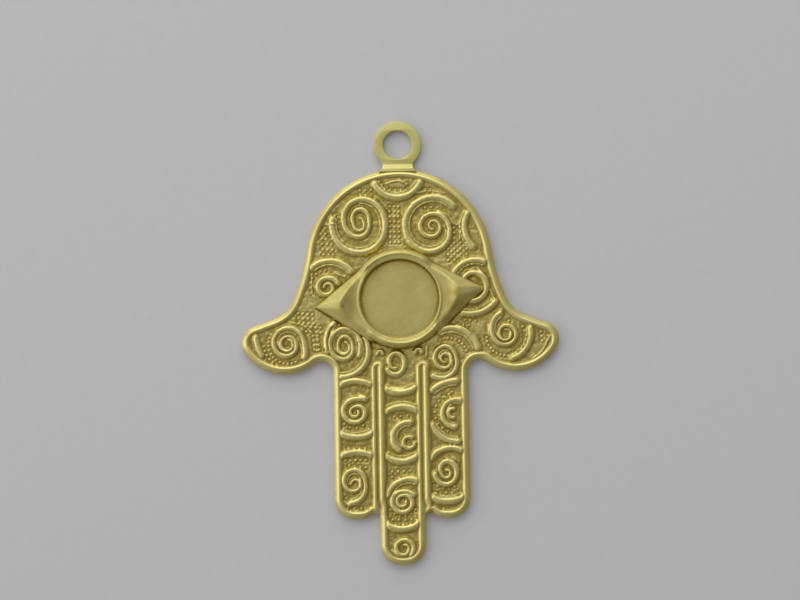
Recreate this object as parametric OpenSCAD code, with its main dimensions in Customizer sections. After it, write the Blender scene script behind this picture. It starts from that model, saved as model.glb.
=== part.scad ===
/* [Overall] */

// height from the finger tip to the top of the hanging ring, mm
overall_height = 56.8; // [52:0.1:62]
// radius of the round crown of the hand
dome_radius = 11.9; // [11:0.1:13]
// half the width of the hand out to the outer turn of a thumb
thumb_reach = 19.95; // [18.5:0.05:21.5]

/* [Sheet and relief] */

// thickness of the plain sheet at the hanging ring
sheet_thickness = 0.8; // [0.5:0.05:0.9]
// height of the flat field between the rims
field_height = 0.9; // [0.8:0.05:1.2]
// how far the crest of the rim lies in from the edge
rim_inset = 0.5; // [0.42:0.02:0.6]
// height of the rim crest over the field
rim_rise = 0.45; // [0.3:0.02:0.5]
// half the width of a scroll ridge
ridge_half_width = 0.37; // [0.3:0.01:0.4]
// height of a scroll ridge over the field
ridge_rise = 0.36; // [0.26:0.02:0.36]

/* [Hanging ring] */

// outer diameter of the flat ring
ring_diameter = 6.1; // [5.4:0.05:6.6]
// diameter of the hole for the jump ring
ring_hole_diameter = 3.7; // [3:0.05:4]
// distance from the top of the crown to the centre of the ring
ring_stand = 3.25; // [3:0.05:3.6]
// width of the neck at its waist under the ring
neck_width = 3.9; // [3:0.1:4.4]
// width of the neck where it leaves the crown
neck_root_width = 4.4; // [4.2:0.1:5.2]

/* [Eye] */

// diameter of the round seat for a flat-backed stone
seat_diameter = 10; // [9.4:0.05:10.4]
// depth of the seat below the crest of its collar
seat_depth = 0.8; // [0.7:0.05:0.9]
// height of the collar crest above the table
collar_height = 2.3; // [2.2:0.05:2.5]
// width of the rounded crest of the collar
collar_width = 0.86; // [0.6:0.02:0.9]
// how far the foot of the collar lies out from the seat wall
collar_foot = 1.45; // [1.3:0.05:1.6]
// distance of the eye centre below the centre of the crown
eye_drop = 4.85; // [4.6:0.05:5.2]
// reach of the left corner of the eye from its centre
left_corner = 11; // [10.6:0.05:11.2]
// reach of the right corner of the eye from its centre
right_corner = 10.4; // [10:0.05:10.6]
// tilt of the eye, degrees
eye_tilt = 5.9; // [4:0.1:8]
// rise of the ridge along a corner, per mm of length
corner_slope = 0.47; // [0.4:0.01:0.52]
// height above the table of the level strip round the collar
strip_height = 2.0; // [1.9:0.05:2.1]
// rise from that strip out to the brow of a corner, per mm outward
brow_slope = 0.5; // [0.44:0.02:0.6]

/* [Fingers] */

// width of each of the three fingers
finger_width = 5.72; // [5.4:0.02:6]
// how far the outer fingers end above the middle one
finger_step = 5.85; // [4.8:0.05:7]
// radius of the corners at the finger ends
finger_corner = 2.55; // [2.2:0.05:2.65]
// how far the web between two fingers stops short of the outer finger tips
web_stop = 0.65; // [0.4:0.05:1.2]
// distance of the finger roots below the centre of the eye
finger_root = 8.3; // [8:0.1:8.6]

/* [Hidden] */

$fn = 48;

brass = [0.80, 0.70, 0.36];

// small overlap that lets neighbouring solids share volume
lap = 0.05;
// heights and positions along the middle line
ring_y = overall_height / 2 - ring_diameter / 2;
dome_y = ring_y - ring_stand - dome_radius;
eye_y = dome_y - eye_drop;
root_y = eye_y - finger_root;
middle_tip_y = -overall_height / 2;
outer_tip_y = middle_tip_y + finger_step;
side_x = 1.5 * finger_width;
seat_radius = seat_diameter / 2;
seat_floor = collar_height - seat_depth;

// distance of the corner roofs' feet from the eye centre: this much inside the foot of the collar
roof_cover = 0.15;
roof_foot = seat_radius + collar_foot - roof_cover;
// the corners point this much below the tilt of the eye on both sides, degrees
corner_lean = 0.6;

// crown end, as an angle above the level through the crown centre
dome_end_angle = 8;
armpit_radius = 1.5;
dome_end = [dome_radius * cos(dome_end_angle), dome_y + dome_radius * sin(dome_end_angle)];

// joints of the arcs down the side and round the thumb:
// [share of thumb_reach across, share of dome_radius from the crown centre up]
col_across = 0;
col_up = 1;
side_joints = [
    [0.682, -0.403],  // where the flank turns into the crook of the thumb
    [0.807, -0.601],  // crook to upper edge
    [0.942, -0.681],  // upper edge to tip
    [1.000, -0.941],  // tip to under side
    [0.592, -1.130],  // under side to armpit
];
joint_points = [
    for (j = side_joints) [j[col_across] * thumb_reach, dome_y + j[col_up] * dome_radius]
];

// an arc that leaves p at heading h and ends at q: [start, end, centre, signed radius, sweep]
arc_start = 0;
arc_end = 1;
arc_centre = 2;
arc_radius = 3;
arc_sweep = 4;
function wrap(a) = a - 360 * floor((a + 180) / 360);
function arc_between(p, h, q) =
    let (half = wrap(atan2(q.y - p.y, q.x - p.x) - h),
         radius = norm(q - p) / (2 * sin(half)))
    [p, q, p + radius * [-sin(h), cos(h)], radius, 2 * half];
function arc_chain(p, h, targets, i = 0) =
    i == len(targets) ? [] :
    let (arc = arc_between(p, h, targets[i]))
    concat([arc], arc_chain(targets[i], h + arc[arc_sweep], targets, i + 1));

// the point a given depth inside the edge, square to a point of an outline arc
function inside_point(arc, at, depth) =
    arc[arc_centre] + (at - arc[arc_centre]) * (1 + depth / arc[arc_radius]);

side_arcs = arc_chain(dome_end, dome_end_angle - 90, joint_points);

// the armpit arc touches the last of them and the straight side of the outer finger
under_arc = side_arcs[len(side_arcs) - 1];
under_radius = abs(under_arc[arc_radius]);
armpit_x = side_x + armpit_radius;
armpit_centre = [
    armpit_x,
    under_arc[arc_centre].y
        - sqrt(pow(under_radius + armpit_radius, 2) - pow(under_arc[arc_centre].x - armpit_x, 2))
];
armpit_start = armpit_centre
    + armpit_radius * (under_arc[arc_centre] - armpit_centre) / norm(under_arc[arc_centre] - armpit_centre);
armpit_end = [side_x, armpit_centre.y];
armpit_turn = 180 - atan2(armpit_start.y - armpit_centre.y, armpit_start.x - armpit_centre.x);
armpit_arc = [armpit_start, armpit_end, armpit_centre, armpit_radius, armpit_turn];
// the under side again, now ending where the armpit begins
under_start = under_arc[arc_start];
under_turn = -wrap(
    atan2(under_start.y - under_arc[arc_centre].y, under_start.x - under_arc[arc_centre].x)
    - atan2(armpit_start.y - under_arc[arc_centre].y, armpit_start.x - under_arc[arc_centre].x));
under_side = [under_start, armpit_start, under_arc[arc_centre], -under_radius, under_turn];
outline_arcs = concat([for (i = [0:len(side_arcs) - 2]) side_arcs[i]], [under_side, armpit_arc]);

// tube sizes: a round ridge sunk so far that it shows the wanted rise and half width
rim_tube_share = 0.92;
rim_tube = rim_tube_share * rim_inset;
rim_axis = field_height + rim_rise - rim_tube;
ridge_tube = (pow(ridge_half_width, 2) + pow(ridge_rise, 2)) / (2 * ridge_rise);
ridge_axis = field_height + ridge_rise - ridge_tube;
// lengths of ridge meet inside a bead slightly wider than they are: share of the tube radius
bead_share = 1.03;
// how far each length stops short of the middle of the bead, as a share of the tube radius
bead_gap_share = 0.2;
// sweep of each inner turn of a scroll, degrees
half_turn = 180;
// an arc of the outline flatter than this radius gets a straight ridge
straight_radius = 60;
// round knuckle over each joint of the outline, and how far it stands proud of the edge
knuckle_radius = 0.6;
knuckle_proud = 0.02;
// round cap between two finger rims, as a share of rim_inset
cap_share = 1.3;

// Scrolls and single curved ridges of the palm, crown and thumbs. Each starts with one arc and
// goes on inward in half turns, each smaller than the last.
// [across, up] = centre of the first arc from the eye centre, and radius, as shares of dome_radius;
// start and sweep of the first arc in degrees; number of half turns after it; size of each to the last
row_across = 0;
row_up = 1;
row_radius = 2;
row_start = 3;
row_sweep = 4;
row_turns = 5;
row_shrink = 6;
palm_rows = [
    [-0.420,  0.805, 0.284, 180, 270, 3, 0.69],  // left scroll of the crown
    [ 0.353,  0.815, 0.294,  45, 225, 3, 0.66],  // right scroll of the crown
    [-0.008,  1.378, 0.269, 209, 121, 0, 1.00],  // bow under the top of the crown
    [ 1.008,  0.777, 0.303, 158,  68, 0, 1.00],  // leaf at the right flank
    [-0.748,  0.130, 0.298,  40,  78, 0, 1.00],  // arch over the left corner of the eye
    [-0.761,  0.134, 0.118,  25, 200, 1, 0.50],  // curl under that arch
    [ 0.790,  0.172, 0.248,  70,  75, 0, 1.00],  // arch over the right corner
    [ 0.790,  0.139, 0.139, -55, 200, 0, 1.00],  // curl round the right corner
    [ 0.756,  0.189, 0.349, 265,  52, 0, 1.00],  // bow under the right corner
    [-1.185, -0.458, 0.172, -50, 230, 2, 0.68],  // left thumb scroll
    [-1.143, -0.374, 0.378, 184,  34, 0, 1.00],  // left thumb crescent
    [ 1.139, -0.357, 0.151, 115, 155, 1, 0.66],  // right thumb scroll
    [ 1.126, -0.374, 0.287, -75,  78, 0, 1.00],  // right thumb crescent
    [ 1.126, -0.391, 0.332, 148,  34, 0, 1.00],  // root of the right thumb
    [-0.605, -0.507, 0.119, 235, 215, 1, 0.66],  // left palm scroll
    [-0.529, -0.450, 0.256, 130,  65, 0, 1.00],  // bow left of it
    [-0.630, -0.542, 0.272, -92, 100, 0, 1.00],  // bow right of it
    [ 0.462, -0.672, 0.166, 232, 218, 2, 0.66],  // right palm scroll
    [ 0.546, -0.609, 0.294,  20,  90, 0, 1.00],  // arch over it
    [-0.046, -0.697, 0.107, 230, 220, 1, 0.72],  // curl at the root of the middle finger
];

// The same for the fingers: finger (-1 left, 0 middle, 1 right), across as a share of finger_width
// from its middle line, down as a share of its length from the root, radius as a share of
// finger_width, then start, sweep, half turns and shrink as above.
finger_number = 0;
finger_across = 1;
finger_down = 2;
finger_radius = 3;
finger_rest = 4;
finger_rows = [
    [-1, -0.014,  0.342, 0.769,  70,  37, 0, 1.00],  // brow
    [-1,  0.010,  0.310, 0.255,  30, 240, 1, 0.62],  // upper scroll
    [-1, -0.005,  0.246, 0.760, 252,  36, 0, 1.00],  // bow
    [-1, -0.005,  0.788, 0.760,  71,  37, 0, 1.00],  // brow
    [-1, -0.058,  0.783, 0.315, 255, 195, 1, 0.62],  // lower scroll
    [ 0, -0.035, -0.002, 0.629, 250,  46, 0, 1.00],  // bow
    [ 0,  0.017,  0.351, 0.629,  68,  46, 0, 1.00],  // brow
    [ 0,  0.149,  0.371, 0.341,  75, 160, 0, 1.00],  // hook
    [ 0,  0.140,  0.386, 0.119, 120, 240, 0, 1.00],  // eye of the hook
    [ 0, -0.009,  0.357, 0.577, 246,  47, 0, 1.00],  // bow
    [ 0,  0.140,  0.686, 0.507,  77,  63, 0, 1.00],  // brow
    [ 0,  0.000,  0.684, 0.240,  60, 210, 1, 0.60],  // lower scroll
    [ 0, -0.017,  0.665, 0.629, 248,  46, 0, 1.00],  // bow
    [ 0,  0.009,  0.906, 0.166, -20, 220, 1, 0.50],  // curl at the tip
    [ 1,  0.259,  0.382, 0.883,  97,  33, 0, 1.00],  // brow
    [ 1,  0.119,  0.320, 0.245,  60, 210, 1, 0.55],  // upper curl
    [ 1,  0.276,  0.317, 0.656, 216,  51, 0, 1.00],  // bow
    [ 1,  0.084,  0.711, 0.551,  75,  64, 0, 1.00],  // brow
    [ 1,  0.014,  0.708, 0.253,  20, 250, 1, 0.60],  // lower scroll
    [ 1, -0.003,  0.688, 0.691, 249,  42, 0, 1.00],  // bow
];

// one arc of a round ridge, lying in the sheet; a negative sweep runs the other way
module tube_arc(centre, radius, start, sweep, tube, axis) {
    trim = bead_gap_share * tube / radius * 180 / PI;
    translate([centre.x, centre.y, axis])
        rotate([0, 0, min(start, start + sweep) + trim])
            rotate_extrude(angle = abs(sweep) - 2 * trim)
                translate([radius, 0])
                    circle(tube);
}

// one straight length of a round ridge
module tube_line(from, to, tube, axis) {
    trim = bead_gap_share * tube;
    translate([from.x, from.y, axis])
        rotate([0, 0, atan2(to.y - from.y, to.x - from.x)])
            translate([trim, 0, 0])
                rotate([0, 90, 0])
                    cylinder(r = tube, h = norm(to - from) - 2 * trim);
}

// the bead at a joint or an end of a ridge
module tube_bead(at, tube, axis) {
    translate([at.x, at.y, axis])
        sphere(bead_share * tube);
}

// a ridge that starts with one arc and winds inward in half turns
module scroll(centre, radius, start, sweep, turns, shrink) {
    last = start + sweep;
    heading = [cos(last), sin(last)];
    tube_bead(centre + radius * [cos(start), sin(start)], ridge_tube, ridge_axis);
    tube_arc(centre, radius, start, sweep, ridge_tube, ridge_axis);
    half_turns(centre + radius * heading, heading, last, radius * shrink, turns, shrink);
}

// the half turns after the first arc: each begins at joint, whose direction from its centre is heading
module half_turns(joint, heading, from, radius, turns, shrink) {
    tube_bead(joint, ridge_tube, ridge_axis);
    if (turns > 0) {
        centre = joint - radius * heading;
        tube_arc(centre, radius, from, half_turn, ridge_tube, ridge_axis);
        half_turns(
            centre - radius * heading, -heading, from + half_turn, radius * shrink, turns - 1, shrink);
    }
}

module palm_scrolls() {
    for (row = palm_rows)
        scroll(
            [row[row_across] * dome_radius, eye_y + row[row_up] * dome_radius],
            row[row_radius] * dome_radius,
            row[row_start], row[row_sweep], row[row_turns], row[row_shrink]);
}

module finger_scrolls() {
    for (row = finger_rows) {
        tip_y = row[finger_number] == 0 ? middle_tip_y : outer_tip_y;
        scroll(
            [(row[finger_number] + row[finger_across]) * finger_width,
             root_y - row[finger_down] * (root_y - tip_y)],
            row[finger_radius] * finger_width,
            row[finger_rest], row[finger_rest + 1], row[finger_rest + 2], row[finger_rest + 3]);
    }
}

// the flat piece between an arc of the outline and its chord
module arc_segment(arc) {
    along = (arc[arc_end] - arc[arc_start]) / norm(arc[arc_end] - arc[arc_start]);
    outward = [-along.y, along.x] * (arc[arc_radius] > 0 ? -1 : 1) * abs(arc[arc_radius]);
    intersection() {
        translate(arc[arc_centre])
            circle(abs(arc[arc_radius]));
        polygon([arc[arc_start], arc[arc_end], arc[arc_end] + outward, arc[arc_start] + outward]);
    }
}

module finger_outline(number, tip_y) {
    half = finger_width / 2;
    translate([number * finger_width, 0]) {
        polygon([
            [-half, root_y], [half, root_y],
            [half, tip_y + finger_corner], [half - finger_corner, tip_y],
            [finger_corner - half, tip_y], [-half, tip_y + finger_corner]
        ]);
        for (side = [-1, 1])
            translate([side * (half - finger_corner), tip_y + finger_corner])
                circle(finger_corner);
    }
}

// sheet left in the notch beside the end of an outer finger
module notch_web() {
    depth = finger_corner - web_stop;
    width = finger_corner - sqrt(pow(finger_corner, 2) - pow(depth, 2)) + lap;
    translate([finger_width / 2 - lap, outer_tip_y + web_stop])
        square([width + lap, depth + lap]);
}

module half_outline() {
    corner_points = concat([dome_end], [for (arc = outline_arcs) arc[arc_end]]);
    for (arc = outline_arcs)
        translate(inside_point(arc, arc[arc_start], knuckle_radius - knuckle_proud))
            circle(knuckle_radius);
    difference() {
        union() {
            polygon(concat([[0, dome_end.y]], corner_points, [[side_x, root_y - lap], [0, root_y - lap]]));
            for (arc = outline_arcs)
                if (arc[arc_radius] < 0)
                    arc_segment(arc);
        }
        for (arc = outline_arcs)
            if (arc[arc_radius] > 0)
                arc_segment(arc);
    }
}

module hand_outline() {
    translate([0, dome_y])
        circle(dome_radius);
    half_outline();
    mirror([1, 0])
        half_outline();
    finger_outline(-1, outer_tip_y);
    finger_outline(0, middle_tip_y);
    finger_outline(1, outer_tip_y);
    notch_web();
    mirror([1, 0])
        notch_web();
}

// rim ridge along one outline arc, with the bead at its far end
module rim_arc(arc) {
    from = inside_point(arc, arc[arc_start], rim_inset);
    to = inside_point(arc, arc[arc_end], rim_inset);
    turn = arc[arc_start] - arc[arc_centre];
    if (abs(arc[arc_radius]) > straight_radius)
        tube_line(from, to, rim_tube, rim_axis);
    else
        tube_arc(
            arc[arc_centre], abs(arc[arc_radius] + rim_inset),
            atan2(turn.y, turn.x), arc[arc_sweep], rim_tube, rim_axis);
    tube_bead(to, rim_tube, rim_axis);
}

// rim round the end of a finger whose sides start at the given heights
module finger_rim(number, left_y, right_y, tip_y) {
    half = finger_width / 2 - rim_inset;
    corner = finger_corner - rim_inset;
    base_y = tip_y + finger_corner;
    x = number * finger_width;
    points = [
        [x - half, left_y], [x - half, base_y], [x - half + corner, base_y - corner],
        [x + half - corner, base_y - corner], [x + half, base_y], [x + half, right_y]
    ];
    for (point = points)
        tube_bead(point, rim_tube, rim_axis);
    for (side = [0, 2, 4])
        tube_line(points[side], points[side + 1], rim_tube, rim_axis);
    tube_arc([x - half + corner, base_y], corner, 180, 90, rim_tube, rim_axis);
    tube_arc([x + half - corner, base_y], corner, 270, 90, rim_tube, rim_axis);
}

module rim() {
    tube_arc(
        [0, dome_y], dome_radius - rim_inset,
        dome_end_angle, 180 - 2 * dome_end_angle, rim_tube, rim_axis);
    for (side = [0, 1])
        mirror([side, 0, 0]) {
            tube_bead(inside_point(outline_arcs[0], dome_end, rim_inset), rim_tube, rim_axis);
            for (arc = outline_arcs)
                rim_arc(arc);
            // round cap where two finger rims meet between the fingers
            translate([finger_width / 2, root_y, field_height + rim_rise - cap_share * rim_inset])
                sphere(cap_share * rim_inset);
        }
    finger_rim(-1, armpit_end.y - lap, root_y, outer_tip_y);
    finger_rim(0, root_y, root_y, middle_tip_y);
    finger_rim(1, root_y, armpit_end.y - lap, outer_tip_y);
}

// one corner of the eye: a ridge roof from the corner up over the eye centre,
// drawn along +X on a foot at base and lowered by drop
module corner_roof(reach, foot_radius, drop, base) {
    half_angle = asin(foot_radius / reach);
    touch = foot_radius * [sin(half_angle), cos(half_angle)];
    peak = field_height + corner_slope * reach - drop;
    polyhedron(
        points = [
            [reach, 0, base], [touch.x, touch.y, base], [0, 0, base], [touch.x, -touch.y, base],
            [reach, 0, field_height - drop], [touch.x, touch.y, field_height - drop],
            [0, 0, peak], [touch.x, -touch.y, field_height - drop]
        ],
        faces = [
            [0, 1, 2, 3],
            [4, 6, 5], [4, 7, 6],
            [0, 4, 5, 1], [0, 3, 7, 4],
            [1, 5, 6, 2], [3, 2, 6, 7]
        ]);
}

// everything above the strip round the collar and the slopes out to the brows, and the middle of the
// eye down to the table
module above_strip(drop) {
    top = 3 * collar_height;  // well clear of both corners
    foot = seat_radius + collar_foot - drop / 2;
    low = strip_height - drop;
    below = -2 * lap;
    rotate_extrude()
        polygon([
            [0, below], [seat_radius, below], [seat_radius, low],
            [foot, low], [foot + (top - low) / brow_slope, top], [0, top]
        ]);
}

module corners(drop, pull, base) {
    difference() {
        union() {
            rotate([0, 0, eye_tilt + corner_lean])
                mirror([1, 0, 0])
                    corner_roof(left_corner - pull, roof_foot - pull, drop, base);
            rotate([0, 0, eye_tilt - corner_lean])
                corner_roof(right_corner - pull, roof_foot - pull, drop, base);
        }
        above_strip(drop);
    }
}

module collar() {
    crest = collar_width / 2;
    outer = seat_radius + collar_width;
    rotate_extrude()
        polygon([
            [0, 0], [seat_radius + collar_foot, 0],
            [seat_radius + collar_foot, field_height], [outer, collar_height - crest], [0, collar_height - crest]
        ]);
    translate([0, 0, collar_height - crest])
        rotate_extrude()
            translate([seat_radius + crest - lap / 2, 0])
                circle(crest);
}

module eye() {
    translate([0, eye_y, 0]) {
        corners(0, 0, lap);
        collar();
    }
}

// hollow of the back under the eye, one sheet below the front
module eye_hollow() {
    depth = seat_floor - sheet_thickness;
    translate([0, eye_y, 0]) {
        translate([0, 0, -lap])
            cylinder(r = seat_radius + collar_width / 2, h = depth + lap);
        corners(sheet_thickness, sheet_thickness, -lap);
    }
}

module ring_plate() {
    ring_radius = ring_diameter / 2;
    crown_y = dome_y + dome_radius;
    waist_y = ring_y - sqrt(pow(ring_radius, 2) - pow(neck_width / 2, 2));
    linear_extrude(sheet_thickness) {
        translate([0, ring_y])
            circle(ring_radius);
        polygon([
            [-neck_root_width / 2, crown_y - rim_inset], [neck_root_width / 2, crown_y - rim_inset],
            [neck_width / 2 - lap, waist_y + lap], [lap - neck_width / 2, waist_y + lap]
        ]);
    }
}

module hamsa() {
    color(brass)
        difference() {
            union() {
                linear_extrude(field_height)
                    hand_outline();
                ring_plate();
                rim();
                palm_scrolls();
                finger_scrolls();
                eye();
            }
            // hole for the jump ring
            translate([0, ring_y, -lap])
                cylinder(d = ring_hole_diameter, h = sheet_thickness + 2 * lap);
            // seat for the stone
            translate([0, eye_y, seat_floor])
                cylinder(r = seat_radius, h = collar_height);
            eye_hollow();
        }
}

hamsa();
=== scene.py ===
import math

import bmesh
import bpy
import numpy as np
from mathutils import Matrix, Vector, geometry, kdtree


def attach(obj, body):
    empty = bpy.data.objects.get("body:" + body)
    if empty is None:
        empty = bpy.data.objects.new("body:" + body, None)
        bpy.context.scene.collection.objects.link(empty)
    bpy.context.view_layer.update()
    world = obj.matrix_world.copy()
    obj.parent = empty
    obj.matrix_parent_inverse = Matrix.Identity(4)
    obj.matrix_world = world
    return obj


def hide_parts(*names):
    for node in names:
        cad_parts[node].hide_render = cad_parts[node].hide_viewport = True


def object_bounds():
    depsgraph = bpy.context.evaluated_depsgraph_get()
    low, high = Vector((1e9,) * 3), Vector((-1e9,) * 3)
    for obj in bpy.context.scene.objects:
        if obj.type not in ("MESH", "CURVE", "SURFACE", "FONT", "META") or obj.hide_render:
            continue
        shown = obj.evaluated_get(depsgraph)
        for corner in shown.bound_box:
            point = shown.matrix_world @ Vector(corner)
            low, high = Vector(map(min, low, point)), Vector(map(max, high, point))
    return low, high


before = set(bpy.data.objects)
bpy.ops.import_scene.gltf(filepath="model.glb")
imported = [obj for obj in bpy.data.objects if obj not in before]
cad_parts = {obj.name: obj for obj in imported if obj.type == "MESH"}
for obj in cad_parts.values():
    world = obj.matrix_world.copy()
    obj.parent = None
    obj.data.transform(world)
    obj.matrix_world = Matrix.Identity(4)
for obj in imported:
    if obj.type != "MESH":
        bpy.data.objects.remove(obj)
cadBox = [list(corner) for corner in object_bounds()]

# All lengths below are millimetres on a pendant of the designed height, unless a note says
# otherwise; unit turns them into metres.
designedHeight = 56.8
unit = (cadBox[1][1] - cadBox[0][1]) / designedHeight


# a new object in the scene
def addObject(name, data):
    made = bpy.data.objects.new(name, data)
    bpy.context.scene.collection.objects.link(made)
    return made


# Camera: nearly straight above the table, leaning a little towards the finger tips

photoView = {
    "distance": 330.0,  # from the table to the lens
    "elevation": 84.0,  # degrees above the table, seen from the finger side
    "turn": 0.89,  # degrees the pendant is turned in the picture
    "target": (0.04, 5.31, 0.4),  # what lies in the middle of the picture
    "frameWidth": 102.4,  # width of table that the picture takes in
    "sensorWidth": 36.0,
    "nearest": 0.01,  # metres; nothing nearer to the lens shows
}


def makeCamera():
    data = bpy.data.cameras.new("photoCamera")
    data.sensor_width = photoView["sensorWidth"]
    data.lens = photoView["sensorWidth"] * photoView["distance"] / photoView["frameWidth"]
    data.clip_start = photoView["nearest"]
    camera = addObject("photoCamera", data)
    elevation = math.radians(photoView["elevation"])
    turn = math.radians(photoView["turn"])
    back = Vector((0, -math.cos(elevation), math.sin(elevation)))
    levelRight = Vector((1, 0, 0))
    levelUp = back.cross(levelRight)
    right = math.cos(turn) * levelRight - math.sin(turn) * levelUp
    up = math.sin(turn) * levelRight + math.cos(turn) * levelUp
    place = Matrix((right, up, back)).transposed().to_4x4()
    place.translation = (Vector(photoView["target"]) + back * photoView["distance"]) * unit
    camera.matrix_world = place
    bpy.context.scene.camera = camera


makeCamera()
bpy.context.scene.view_settings.view_transform = "Standard"
print("camera made")

# Outline of the hand

handShape = {
    "crownRadius": 11.9,  # round crown
    "crownY": 10.2,  # its centre
    "crownEnd": 8.0,  # angle over the level where the crown passes into the flank
    # joints of the flank and thumb arcs (x, y)
    "sideJoints": ((13.61, 5.40), (16.10, 3.05), (18.79, 2.10), (19.95, -1.00), (11.81, -3.25)),
    "armpitRadius": 1.5,
    "fingerWidth": 5.72,
    "fingerCorner": 2.55,
    "middleTip": -28.4,
    "outerTip": -22.55,
    "partingTop": -3.45,  # upper end of the groove between two fingers
    "webStop": 0.65,  # the web between two fingers ends this far over the outer tips
}


def wrapAngle(angle):
    return (angle + math.pi) % (2 * math.pi) - math.pi


def arcPoints(centre, radius, start, sweep, step=0.06):
    count = max(3, int(abs(sweep) * radius / step) + 1)
    angles = np.linspace(start, start + sweep, count)
    return np.c_[centre[0] + radius * np.cos(angles), centre[1] + radius * np.sin(angles)]


# centre, signed radius and sweep of the arc that leaves start at heading and reaches end
def arcTo(start, heading, end):
    across = np.subtract(end, start)
    half = wrapAngle(math.atan2(across[1], across[0]) - heading)
    radius = math.hypot(*across) / (2 * math.sin(half))
    centre = np.add(start, radius * np.array([-math.sin(heading), math.cos(heading)]))
    return centre, radius, 2 * half


# points from the top of the crown down the right side to the middle finger's tip
def rightOutline():
    s = handShape
    end = math.radians(s["crownEnd"])
    centre = (0.0, s["crownY"])
    points = [arcPoints(centre, s["crownRadius"], math.pi / 2, end - math.pi / 2)]
    at = np.add(centre, s["crownRadius"] * np.array([math.cos(end), math.sin(end)]))
    heading = end - math.pi / 2
    armpitX = 1.5 * s["fingerWidth"] + s["armpitRadius"]
    for number, joint in enumerate(s["sideJoints"]):
        middle, radius, sweep = arcTo(at, heading, joint)
        first = math.atan2(at[1] - middle[1], at[0] - middle[0])
        if number == len(s["sideJoints"]) - 1:  # the under side stops where it meets the armpit
            reach = abs(radius) + s["armpitRadius"]
            drop = math.sqrt(reach ** 2 - (middle[0] - armpitX) ** 2)
            armpit = np.array([armpitX, middle[1] - drop])
            last = math.atan2(armpit[1] - middle[1], armpit[0] - middle[0])
            sweep = -wrapAngle(first - last)
        points.append(arcPoints(middle, abs(radius), first, sweep))
        at, heading = np.array(joint), heading + sweep
    towards = math.atan2(middle[1] - armpit[1], middle[0] - armpit[0])
    points.append(arcPoints(armpit, s["armpitRadius"], towards, math.pi - towards))
    points.append(fingerEnd(1.0, s["outerTip"], s["outerTip"] + s["webStop"]))
    half = s["fingerWidth"] / 2
    points.append(np.array([[half, s["outerTip"] + s["webStop"]]]))
    points.append(fingerEnd(0.0, s["middleTip"], None))
    return np.vstack(points)


# the rounded end of a finger, from its right side to height inner on its left, or to its tip
def fingerEnd(number, tip, inner):
    s = handShape
    half = s["fingerWidth"] / 2
    corner = s["fingerCorner"]
    x = number * s["fingerWidth"]
    right = arcPoints((x + half - corner, tip + corner), corner, 0, -math.pi / 2)
    if inner is None:
        return np.vstack([right, [[0.0, tip]]])
    stop = math.asin((corner - (inner - tip)) / corner)
    left = arcPoints((x - half + corner, tip + corner), corner, -math.pi / 2, -(math.pi / 2 - stop))
    return np.vstack([right, left])


# the same line with points at even steps
def evenly(points, step=0.05, closed=True):
    line = np.vstack([points, points[:1]]) if closed else np.asarray(points, float)
    length = np.r_[0, np.cumsum(np.hypot(*np.diff(line, axis=0).T))]
    at = np.linspace(0, length[-1], int(length[-1] / step) + 1)
    if closed:
        at = at[:-1]
    return np.c_[np.interp(at, length, line[:, 0]), np.interp(at, length, line[:, 1])]


# a smooth line through the points
def through(points, steps=8):
    p = np.asarray(points, float)
    p = np.vstack([2 * p[0] - p[1], p, 2 * p[-1] - p[-2]])
    line = []
    for a, b, c, d in zip(p, p[1:], p[2:], p[3:]):
        for t in np.arange(steps) / steps:
            bend = 2 * a - 5 * b + 4 * c - d + t * (3 * (b - c) + d - a)
            line.append(b + 0.5 * t * (c - a + t * bend))
    return np.vstack([line, p[-2:-1]])


def handOutline():
    right = rightOutline()
    left = right[::-1] * [-1, 1]
    return evenly(np.vstack([right, left[1:-1]]))


# which points lie inside the polygon: those with an odd number of its sides to their right
def insideOf(points, polygon):
    inside = np.zeros(len(points), bool)
    x, y = points[:, 0], points[:, 1]
    for (ax, ay), (bx, by) in zip(polygon, np.roll(polygon, -1, axis=0)):
        if ay == by:
            continue
        cross = (ay > y) != (by > y)
        inside ^= cross & (x < (bx - ax) * (y - ay) / (by - ay) + ax)
    return inside


# distance from each point to the line, and the nearest point on it
def nearestOn(points, line, closed=True):
    tree = kdtree.KDTree(len(line))
    for index, (x, y) in enumerate(line):
        tree.insert((x, y, 0), index)
    tree.balance()
    near = np.array([tree.find((x, y, 0))[1] for x, y in points])
    best = np.full(len(points), np.inf)
    foot = np.zeros_like(points)
    for step in (-1, 1):
        a = line[near]
        other = near + step
        other = other % len(line) if closed else np.clip(other, 0, len(line) - 1)
        b = line[other]
        along = b - a
        size = np.maximum((along ** 2).sum(1), 1e-12)
        share = np.clip(((points - a) * along).sum(1) / size, 0, 1)
        q = a + along * share[:, None]
        d = np.hypot(*(points - q).T)
        closer = d < best
        best[closer] = d[closer]
        foot[closer] = q[closer]
    return best, foot


# Relief of the hand: scrolls, fine lines and beads

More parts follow.
